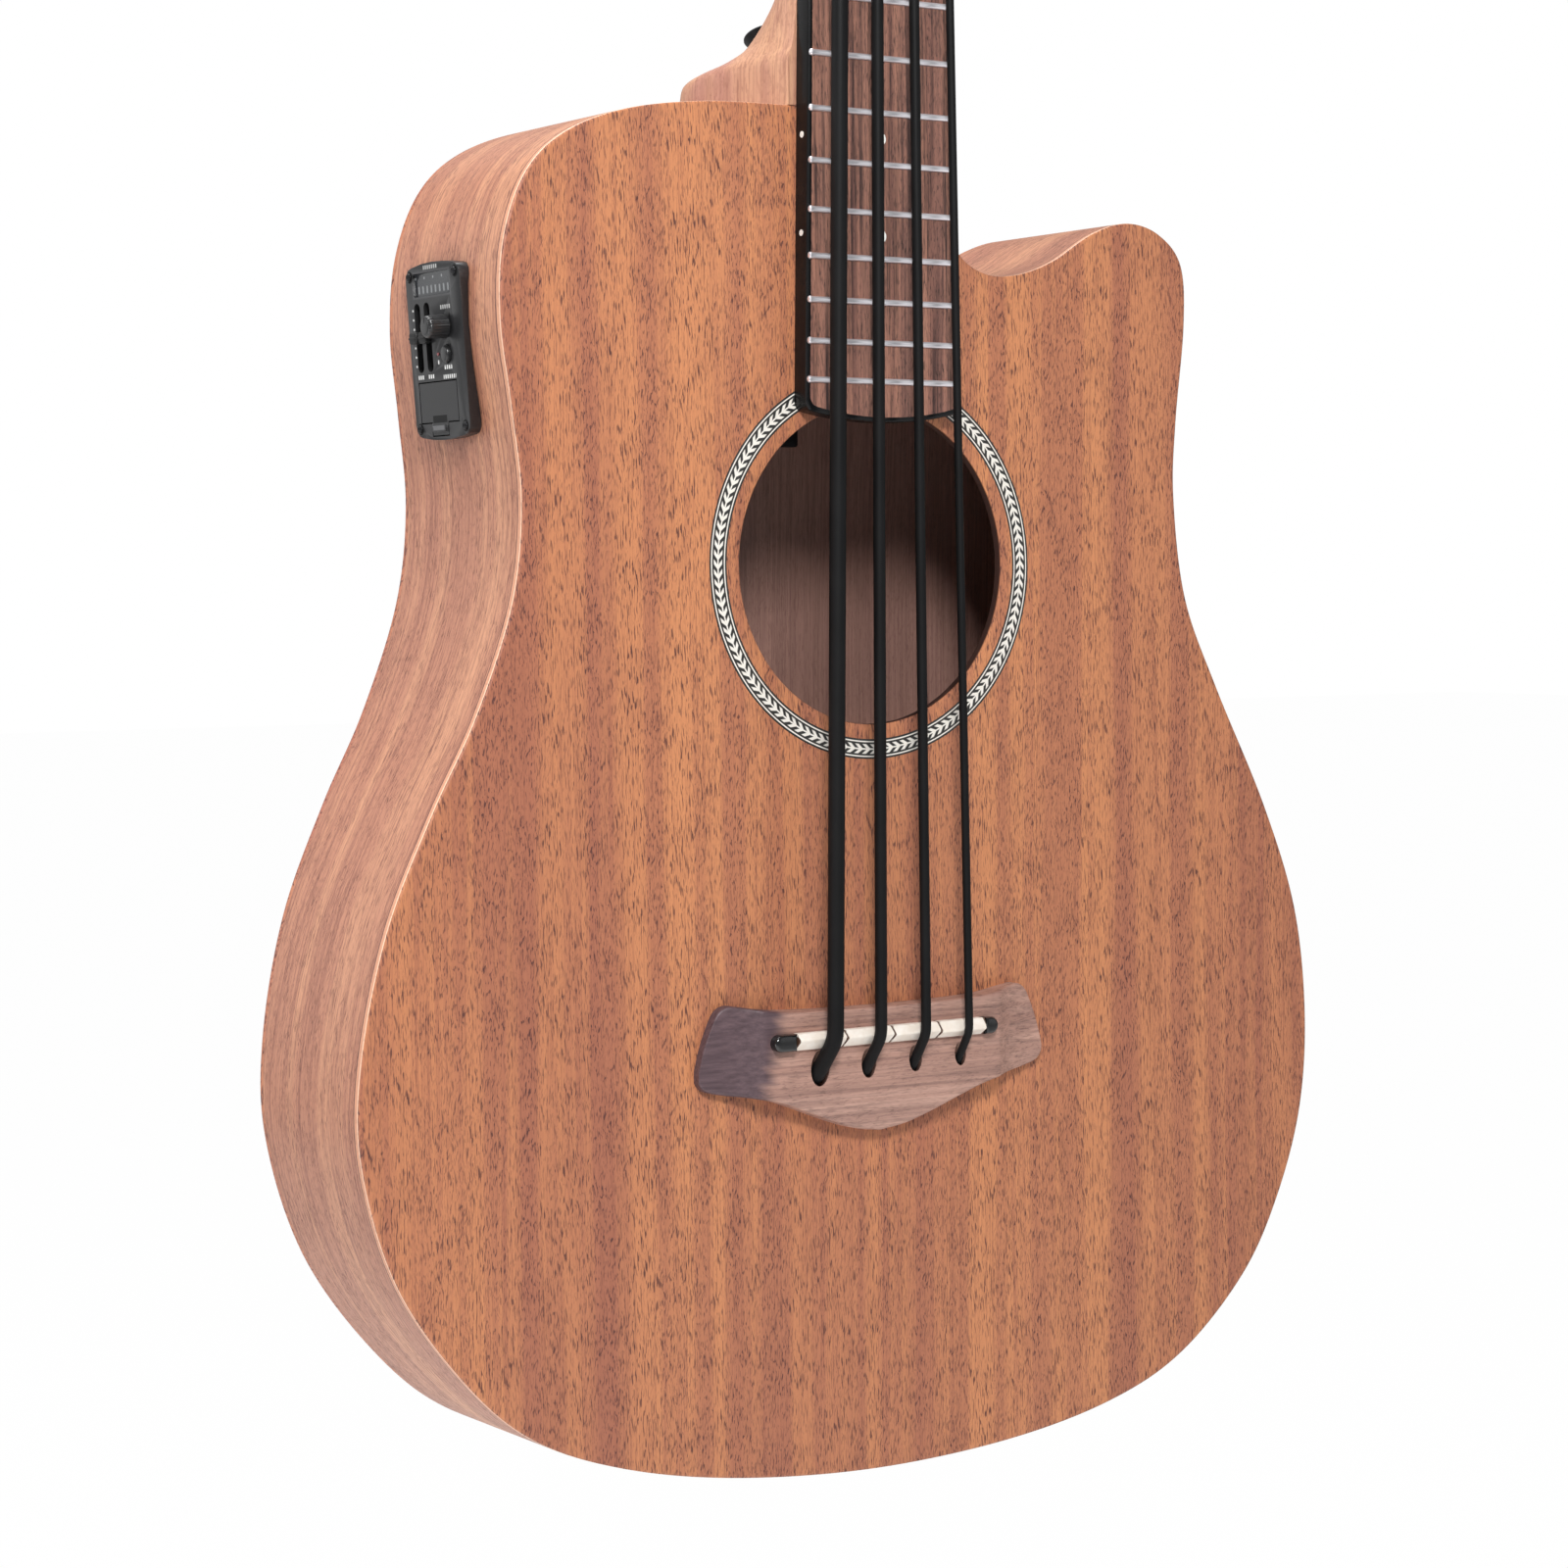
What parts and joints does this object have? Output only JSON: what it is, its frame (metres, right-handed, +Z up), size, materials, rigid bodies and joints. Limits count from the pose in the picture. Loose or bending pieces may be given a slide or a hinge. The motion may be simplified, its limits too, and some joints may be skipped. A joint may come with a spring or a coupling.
{
  "type": "acoustic bass guitar",
  "caption": "Small hollow-bodied acoustic bass with a cutaway, rubber strings, a fretted neck with geared tuners, and a side control panel whose controls and battery door move.",
  "frame": {"origin": "the nut's line at the headstock end of the fretboard, in the plane of the top's face, on the neck's centre line, where a hanger's fork holds the instrument under the headstock", "axes": "+Z up the neck to the headstock, +Y from the top's face into the body to the back, +X to the player's treble side, where the cutaway is"},
  "size_m": [0.3632, 0.0982, 0.9372],
  "materials": {
    "top_wood": "satin mahogany with ribbon stripes",
    "side_wood": "satin mahogany, grain along the side",
    "back_wood": "satin mahogany, upright grain",
    "inner_wood": "raw, unfinished",
    "brace_wood": "raw spruce",
    "rosette_inlay": "black and white herringbone inlay under satin lacquer",
    "edge_wood": "pale satin edging with a thin dark line under it",
    "black_binding": "gloss black",
    "board_wood": "open-grained dark wood",
    "neck_wood": "satin, upright figure",
    "bridge_wood": "satin walnut, grain across",
    "cream_plastic": "satin cream",
    "gloss_black": "gloss black",
    "string_rubber": "matt black silicone rubber",
    "black_plastic": "fine-grained moulding",
    "control_plastic": "satin black",
    "black_metal": "satin black plate",
    "tuner_metal": "bright plate on the posts",
    "steel": "plain steel",
    "brass": "thin braid"
  },
  "bodies": {
    "instrument": {"soundboard": "top_wood", "rosette": "rosette_inlay", "top_binding": "edge_wood", "side_bass": "side_wood", "side_treble": "side_wood", "back": "back_wood", "lining_top_bass": "inner_wood", "lining_top_treble": "inner_wood", "lining_back_bass": "inner_wood", "lining_back_treble": "inner_wood", "neck_block": "inner_wood", "tail_block": "inner_wood", "x_brace": "brace_wood", "upper_brace": "brace_wood", "bridge_plate": "inner_wood", "back_brace_upper": "brace_wood", "back_brace_waist": "brace_wood", "back_brace_lower": "brace_wood", "fretboard": "board_wood", "fretboard_binding": "black_binding", "neck": "neck_wood", "heel_strap_button": "black_metal", "truss_rod": "steel", "headstock_plate": "board_wood", "string_e": "string_rubber", "string_a": "string_rubber", "string_d": "string_rubber", "string_g": "string_rubber", "nut": "cream_plastic", "bridge": "bridge_wood", "saddle_e": "cream_plastic", "saddle_a": "cream_plastic", "saddle_d": "cream_plastic", "saddle_g": "cream_plastic", "saddle_cap_bass": "gloss_black", "saddle_cap_treble": "gloss_black", "pickup_strip": "brass", "tuner_housing_e": "black_metal", "tuner_housing_a": "black_metal", "tuner_housing_d": "black_metal", "tuner_housing_g": "black_metal", "preamp_panel": "black_plastic", "preamp_box": "black_plastic", "coin_cells": "steel", "output_jack": "black_metal"},
    "volume_control": {"volume_knob": "control_plastic"},
    "bass_control": {"bass_slider": "control_plastic"},
    "treble_control": {"treble_slider": "control_plastic"},
    "tuner_switch": {"tuner_button": "control_plastic"},
    "battery_hatch": {"battery_door": "black_plastic"},
    "post_e": {"tuner_post_e": "tuner_metal"},
    "post_a": {"tuner_post_a": "tuner_metal"},
    "post_d": {"tuner_post_d": "tuner_metal"},
    "post_g": {"tuner_post_g": "tuner_metal"},
    "key_e": {"tuner_key_e": "black_metal"},
    "key_a": {"tuner_key_a": "black_metal"},
    "key_d": {"tuner_key_d": "black_metal"},
    "key_g": {"tuner_key_g": "black_metal"}
  },
  "joints": [
    {"name": "volume_turn", "type": "hinge", "parent": "instrument", "child": "volume_control", "pos_m": [-0.13469, 0.0297, -0.4202], "axis": [-0.9975, 0, -0.0713], "range_deg": [-150, 150]},
    {"name": "bass_slide", "type": "slide", "parent": "instrument", "child": "bass_control", "axis": [-0.0713, 0, 0.9975], "range_m": [-0.0075, 0.0075]},
    {"name": "treble_slide", "type": "slide", "parent": "instrument", "child": "treble_control", "axis": [-0.0713, 0, 0.9975], "range_m": [-0.0075, 0.0075]},
    {"name": "tuner_press", "type": "slide", "parent": "instrument", "child": "tuner_switch", "axis": [0.9975, 0, 0.0713], "range_m": [0, 0.0008], "stiffness_N_per_m": 400, "springref_m": -0.001},
    {"name": "battery_hinge", "type": "hinge", "parent": "instrument", "child": "battery_hatch", "pos_m": [-0.13353, 0.0375, -0.43636], "axis": [0, 1, 0], "range_deg": [0, 100]},
    {"name": "key_e_turn", "type": "hinge", "parent": "instrument", "child": "key_e", "pos_m": [-0.021, 0.02911, 0.03664], "axis": [1, 0, 0], "continuous": true},
    {"name": "key_a_turn", "type": "hinge", "parent": "instrument", "child": "key_a", "pos_m": [-0.019, 0.04117, 0.09337], "axis": [1, 0, 0], "continuous": true},
    {"name": "key_d_turn", "type": "hinge", "parent": "instrument", "child": "key_d", "pos_m": [0.019, 0.04117, 0.09337], "axis": [1, 0, 0], "continuous": true},
    {"name": "key_g_turn", "type": "hinge", "parent": "instrument", "child": "key_g", "pos_m": [0.021, 0.02911, 0.03664], "axis": [1, 0, 0], "continuous": true},
    {"name": "post_e_turn", "type": "hinge", "parent": "instrument", "child": "post_e", "pos_m": [-0.021, 0.00915, 0.04804], "axis": [0, -0.9781, 0.2079], "continuous": true},
    {"name": "post_a_turn", "type": "hinge", "parent": "instrument", "child": "post_a", "pos_m": [-0.019, 0.02121, 0.10477], "axis": [0, -0.9781, 0.2079], "continuous": true},
    {"name": "post_d_turn", "type": "hinge", "parent": "instrument", "child": "post_d", "pos_m": [0.019, 0.02121, 0.10477], "axis": [0, -0.9781, 0.2079], "continuous": true},
    {"name": "post_g_turn", "type": "hinge", "parent": "instrument", "child": "post_g", "pos_m": [0.021, 0.00915, 0.04804], "axis": [0, -0.9781, 0.2079], "continuous": true}
  ],
  "couplings": [
    {"joint": "post_e_turn", "follows": "key_e_turn", "ratio": 0.055556},
    {"joint": "post_a_turn", "follows": "key_a_turn", "ratio": 0.055556},
    {"joint": "post_d_turn", "follows": "key_d_turn", "ratio": -0.055556},
    {"joint": "post_g_turn", "follows": "key_g_turn", "ratio": -0.055556}
  ]
}
